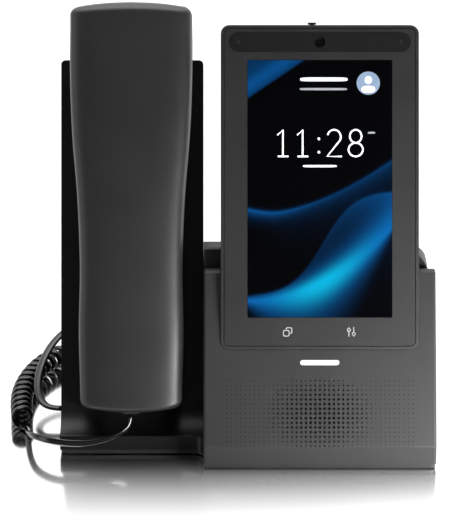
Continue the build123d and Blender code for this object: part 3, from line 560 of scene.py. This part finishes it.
# ---------------------------------------------------------------- display picture
def screen_colours(across, up):
    """Blue waves on black: a dome under a logistic curve with a bright streak across it, a
    thin ribbon above and a blue corner, all exponentials of the distance from their curves."""
    width, height = display_size
    x, y = across / width, up / height

    def below(level, reach, edge=0.004):
        """One just under a curve, fading away below it, and nothing above."""
        gap = level - y
        return np.where(gap > 0, np.exp(-gap / reach), np.exp(gap / edge))

    dome_line = 0.08 + 0.41 / (1 + np.exp((0.52 - x) / 0.11))
    dome = np.where(y < dome_line, 1.0, np.exp((dome_line - y) / 0.004))
    axis = 0.066 + 0.285 * x ** 2.1
    above_axis = y > axis
    reach = np.where(above_axis, 0.012 + 0.085 * x, 0.016 + 0.085 * np.sin(math.pi * np.clip(x, 0, 1)))
    streak = np.exp(-np.abs((y - axis) / reach) ** 1.5) * dome
    heart = np.exp(-((x - 0.52) / 0.27) ** 2 - np.abs((y - axis) / (0.6 * reach)) ** 2) * dome
    sheen = below(dome_line, 0.035 + 0.05 * x) * (x > 0.35) * np.clip((x - 0.35) / 0.5, 0, 1)
    ribbon_line = 0.407 + 0.203 * (np.clip(x - 0.17, 0, 1) / 0.83) ** 1.6 + 0.014 * np.clip(
        1 - x / 0.2, 0, 1) ** 2
    ribbon = below(ribbon_line, 0.014) * (0.12 + 0.75 * np.exp(-(x / 0.42) ** 2))
    veil = below(ribbon_line, 0.05) * 0.16 * np.clip(x - 0.1, 0, 1)
    corner_line = 0.845 + 0.38 * x
    inside = np.clip((y - corner_line) / 0.012, 0, 1)
    corner = inside * (0.28 + 0.4 * np.exp(-((y - corner_line - 0.05) / 0.035) ** 2))
    glow = 0.62 * streak + 0.22 * sheen + 0.55 * ribbon + veil + 0.55 * corner
    red = 0.0002 + 0.004 * glow
    green = 0.0003 + 0.19 * glow + 0.36 * heart
    blue = 0.001 + 0.66 * glow + 0.36 * heart
    return np.stack([red, green, blue, np.ones_like(red)], axis=-1)


def make_screen_picture():
    """A flat grid over the display, coloured point by point."""
    inset = 0.15 * MM
    across, up = np.meshgrid(np.linspace(inset, display_size[0] - inset, 165),
                             np.linspace(inset, display_size[1] - inset, 292))
    points = on_panel(across - display_size[0] / 2, display_base + up, glass_out + 0.01 * MM)
    piece = new_piece("screen_picture", points, grid_faces(*across.shape),
                      screen_picture("lit_picture"), "base")
    layer = piece.data.color_attributes.new("picture", "FLOAT_COLOR", "POINT")
    layer.data.foreach_set("color", screen_colours(across, up).astype(np.float32).ravel())
    return piece


make_screen_picture()


mark_corners = 48
glyph_out = glass_out + 0.03 * MM
icon_out = bezel_out + 0.01 * MM


def mark_outline(power):
    """One superellipse of half width and half height one, as rows of across and up."""
    angle = np.linspace(0, math.tau, mark_corners + 1)[:-1]
    return np.stack(superellipse(angle, power), axis=-1)


def ring_mark(name, x, y, half, line, material, power, out):
    """A flat ring between two superellipses about one centre."""
    rings = mark_outline(power)[None] * np.array([half - line, half])[:, None, None]
    points = on_panel(x + rings[..., 0], y + rings[..., 1], out)
    faces = grid_faces(2, mark_corners, True)
    return new_piece(name, points, faces, material, "base", False)


def disc_mark(name, x, y, half_x, half_y, material, power, out):
    """A flat filled superellipse."""
    outline = mark_outline(power) * (half_x, half_y)
    points = on_panel(x + outline[:, 0], y + outline[:, 1], out)
    faces = [list(range(mark_corners))]
    return new_piece(name, points, faces, material, "base", False)


def arc_points(x, y, half_x, half_y, start, end, count=25):
    """Points on an ellipse between two angles in degrees."""
    angle = np.radians(np.linspace(start, end, count))
    return np.stack([x + half_x * np.cos(angle), y + half_y * np.sin(angle)], axis=-1)


def figure_strokes():
    """Each figure as thin lines in a box one unit high."""
    one = np.array([(0.0, 0.80), (0.21, 1.0), (0.21, 0.0)])
    base = np.array([(0.02, 0.0), (0.42, 0.0)])
    two = np.concatenate([arc_points(0.27, 0.73, 0.25, 0.27, 165, -28), [(0.01, 0.0), (0.56, 0.0)]])
    upper = arc_points(0.28, 0.755, 0.22, 0.245, 0, 360)
    lower = arc_points(0.28, 0.255, 0.27, 0.255, 0, 360)
    return {"1": [one, base], "2": [two], "8": [upper, lower]}


def clock_digits():
    """The time in thin figures: flat ribbons of one width along each stroke."""
    tall, half_line = 12.6 * MM, 0.36 * MM
    centre_x, foot_y = 0.2 * MM, display_base + 76.2 * MM
    middle = 1.61 * tall
    figures = figure_strokes()
    strokes = []
    for figure, left in (("1", 0.0), ("1", 0.74), ("2", 1.86), ("8", 2.66)):
        strokes += [line + (left, 0) for line in figures[figure]]
    strokes += [arc_points(1.56, y, 0.022, 0.022, 0, 360, 9) for y in (0.16, 0.66)]
    points, faces = [], []
    for line in strokes:
        line = np.concatenate([line[:1], line, line[-1:]]) * tall
        way = np.gradient(line, axis=0)
        way = way / np.maximum(np.linalg.norm(way, axis=1, keepdims=True), 1e-9)
        side = np.stack([-way[:, 1], way[:, 0]], axis=-1) * half_line
        first = sum(len(part) for part in points)
        points.append(np.stack([line + side, line - side], axis=1).reshape(-1, 2))
        faces += [[first + corner for corner in face] for face in grid_faces(len(line), 2)]
    place = np.concatenate(points) - (middle, 0)
    points = on_panel(place[:, 0] + centre_x, foot_y + place[:, 1], glyph_out)
    return new_piece("clock_digits", points, faces, glyph_white, "base", False)


clock_digits()
# name, across, up the display, half width, half height, material, power, out from the others
for name, x, y, half_x, half_y, material, power, out in (
        ("name_bar", 1.9, 112.6, 11.2, 0.95, bar_white, 5, 0),
        ("number_bar", 1.7, 108.0, 11.2, 0.55, bar_dim, 5, 0),
        ("date_bar", 0.0, 71.6, 8.0, 0.55, bar_white, 5, 0),
        ("half_day_mark", 24.4, 87.4, 1.7, 0.45, bar_dim, 5, 0),
        ("avatar", 22.9, 110.8, 5.5, 5.5, avatar_blue, 2, 0),
        ("avatar_head", 22.9, 112.3, 1.75, 1.9, bar_white, 2, 0.01),
        ("avatar_shoulders", 22.9, 107.9, 3.3, 1.7, bar_white, 2.6, 0.01)):
    disc_mark(name, x * MM, display_base + y * MM, half_x * MM, half_y * MM, material, power,
              glyph_out + out * MM)


def make_copy_key():
    """Two rounded squares, one in front of the other and set off from it along a diagonal."""
    centre_x, offset, half, gap_half, line = -15.2 * MM, 0.65 * MM, 1.5 * MM, 1.75 * MM, 0.34 * MM
    back_x, back_y = centre_x + offset, key_height + offset
    front_x, front_y = centre_x - offset, key_height - offset
    ring_mark("copy_key_back", back_x, back_y, half, line, icon_grey, 5, icon_out)
    disc_mark("copy_key_gap", front_x, front_y, gap_half, gap_half, bezel_black, 5,
              icon_out + gap_lift)
    ring_mark("copy_key_front", front_x, front_y, half, line, icon_grey, 5, icon_out + ring_lift)


def make_sliders_key():
    """Two upright lines, each with a small ring on it, one below the middle and one above."""
    centre_x, apart, drop = 14.9 * MM, 1.15 * MM, 0.9 * MM
    stem_half, stem_long, gap_half = 0.17 * MM, 2.3 * MM, 0.95 * MM
    ring_half, line = 0.85 * MM, 0.3 * MM
    for side, name in ((-1, "left"), (1, "right")):
        stem_x, ring_y = centre_x + side * apart, key_height - side * drop
        disc_mark(f"sliders_key_{name}_stem", stem_x, key_height, stem_half, stem_long, icon_grey, 6,
                  icon_out)
        disc_mark(f"sliders_key_{name}_gap", stem_x, ring_y, gap_half, gap_half, bezel_black, 2,
                  icon_out + gap_lift)
        ring_mark(f"sliders_key_{name}_ring", stem_x, ring_y, ring_half, line, icon_grey, 2,
                  icon_out + ring_lift)


key_height = 8.4 * MM
gap_lift, ring_lift = 0.005 * MM, 0.01 * MM
make_copy_key()
make_sliders_key()


# ---------------------------------------------------------------- painted shade of the outer grille dimples
def make_painted_dimple_shade():
    """Flat dark eight-sided dots on the grille's grid, past its through holes: painted shade in place
    of small dimples there. The holes shrink with the square of the distance from the middle, taken on
    an ellipse, and the dots have a least size."""
    pitch, columns, rows, centre_y = 2.2 * MM, 41, 15, 15.6 * MM
    reach_across, reach_up = 30 * MM, 21 * MM
    largest, shrink, least_hole, least_dot = 0.66 * MM, 0.75, 0.3 * MM, 0.24 * MM
    corners = 8
    across, up = np.meshgrid((np.arange(columns) - (columns - 1) / 2) * pitch,
                             (np.arange(rows) - (rows - 1) / 2) * pitch)
    far = (across / reach_across) ** 2 + (up / reach_up) ** 2
    hole = largest * (1 - shrink * far)
    outside = hole < least_hole
    centre = np.stack([across[outside], up[outside] + centre_y], axis=-1)
    radius = np.clip(hole[outside], least_dot, None)
    angle = np.linspace(0, math.tau, corners + 1)[:-1]
    ring = np.stack([np.cos(angle), np.sin(angle)], axis=-1)
    place = centre[:, None, :] + radius[:, None, None] * ring[None]
    points = on_face(place[..., 0], place[..., 1], 0.01 * MM)
    faces = np.arange(len(centre) * corners).reshape(-1, corners).tolist()
    # Painted shade: dark flat discs where small dimples would hold shadow.
    return new_piece("painted_dimple_shade", points, faces, dot_shadow, "base", False)


make_painted_dimple_shade()


# ---------------------------------------------------------------- floor and lights
def map_range(nodes, links, source, **sockets):
    """One number carried over from one range to another; keyword sockets by their own names."""
    change = nodes.new("ShaderNodeMapRange")
    for socket, value in sockets.items():
        change.inputs[socket.replace("_", " ")].default_value = value
    links.new(source, change.inputs["Value"])
    return change


def make_floor():
    """A wide pale sheet, polished under the phone and duller in front of it and behind."""
    half_size = 4
    material, nodes, links, surface, place = shader("floor", (0.97, 0.97, 0.97), 0.12)
    patches = patch_noise(nodes, links, place, scale=3)
    vary(nodes, links, patches, surface.inputs["Roughness"], 0.1, 0.14)
    parts = nodes.new("ShaderNodeSeparateXYZ")
    links.new(place, parts.inputs["Vector"])
    in_front = map_range(nodes, links, parts.outputs["Y"],
                         From_Min=-0.125, From_Max=-0.035, To_Min=0.02, To_Max=1.0)
    behind = map_range(nodes, links, parts.outputs["Y"],
                       From_Min=0.06, From_Max=0.17, To_Min=1.0, To_Max=0.03)
    gloss = nodes.new("ShaderNodeMath")
    gloss.operation = "MULTIPLY"
    for fade, socket in zip((in_front, behind), gloss.inputs):
        fade.interpolation_type = "SMOOTHSTEP"
        links.new(fade.outputs["Result"], socket)
    links.new(gloss.outputs["Value"], surface.inputs["Metallic"])
    steps = np.linspace(-half_size, half_size, 3)
    across, back = np.meshgrid(steps, steps)
    points = np.stack([across, back, np.zeros_like(across)], axis=-1)
    mesh = bpy.data.meshes.new("floor")
    mesh.from_pydata(points.reshape(-1, 3).tolist(), [], grid_faces(3, 3))
    mesh.materials.append(material)
    floor = bpy.data.objects.new("floor", mesh)
    bpy.context.collection.objects.link(floor)


def softbox(name, place, aim, size, power):
    """A soft rectangular light that faces a point."""
    data = bpy.data.lights.new(name, "AREA")
    data.shape = "RECTANGLE"
    data.size, data.size_y = size
    data.energy = power
    light = bpy.data.objects.new(name, data)
    light.location = place
    light.rotation_euler = (Vector(aim) - Vector(place)).to_track_quat("-Z", "Y").to_euler()
    bpy.context.collection.objects.link(light)


make_floor()
softbox("right_box", place=(0.22, -0.23, 0.03), aim=(0.08, -0.05, 0.03), size=(0.18, 0.08), power=2.2)
softbox("left_box", place=(-1.3, -0.2, 0.5), aim=(-0.05, 0, 0.1), size=(0.5, 0.9), power=3)
softbox("top_box", place=(0, 0.4, 1.9), aim=(0, 0, 0.1), size=(2.2, 1.8), power=50)


def studio_world():
    """A pale backdrop behind, falling off to a dim room in front."""
    world = bpy.data.worlds.new("studio")
    world.use_nodes = True
    nodes, links = world.node_tree.nodes, world.node_tree.links
    direction = nodes.new("ShaderNodeTexCoord")
    parts = nodes.new("ShaderNodeSeparateXYZ")
    links.new(direction.outputs["Generated"], parts.inputs["Vector"])
    fall = map_range(nodes, links, parts.outputs["Y"],
                     From_Min=-0.1, From_Max=0.7, To_Min=0.04, To_Max=1.25)
    links.new(fall.outputs["Result"], nodes["Background"].inputs["Strength"])
    nodes["Background"].inputs["Color"].default_value = (1, 1, 1, 1)
    bpy.context.scene.world = world


studio_world()
bpy.context.scene.view_settings.view_transform = "Standard"
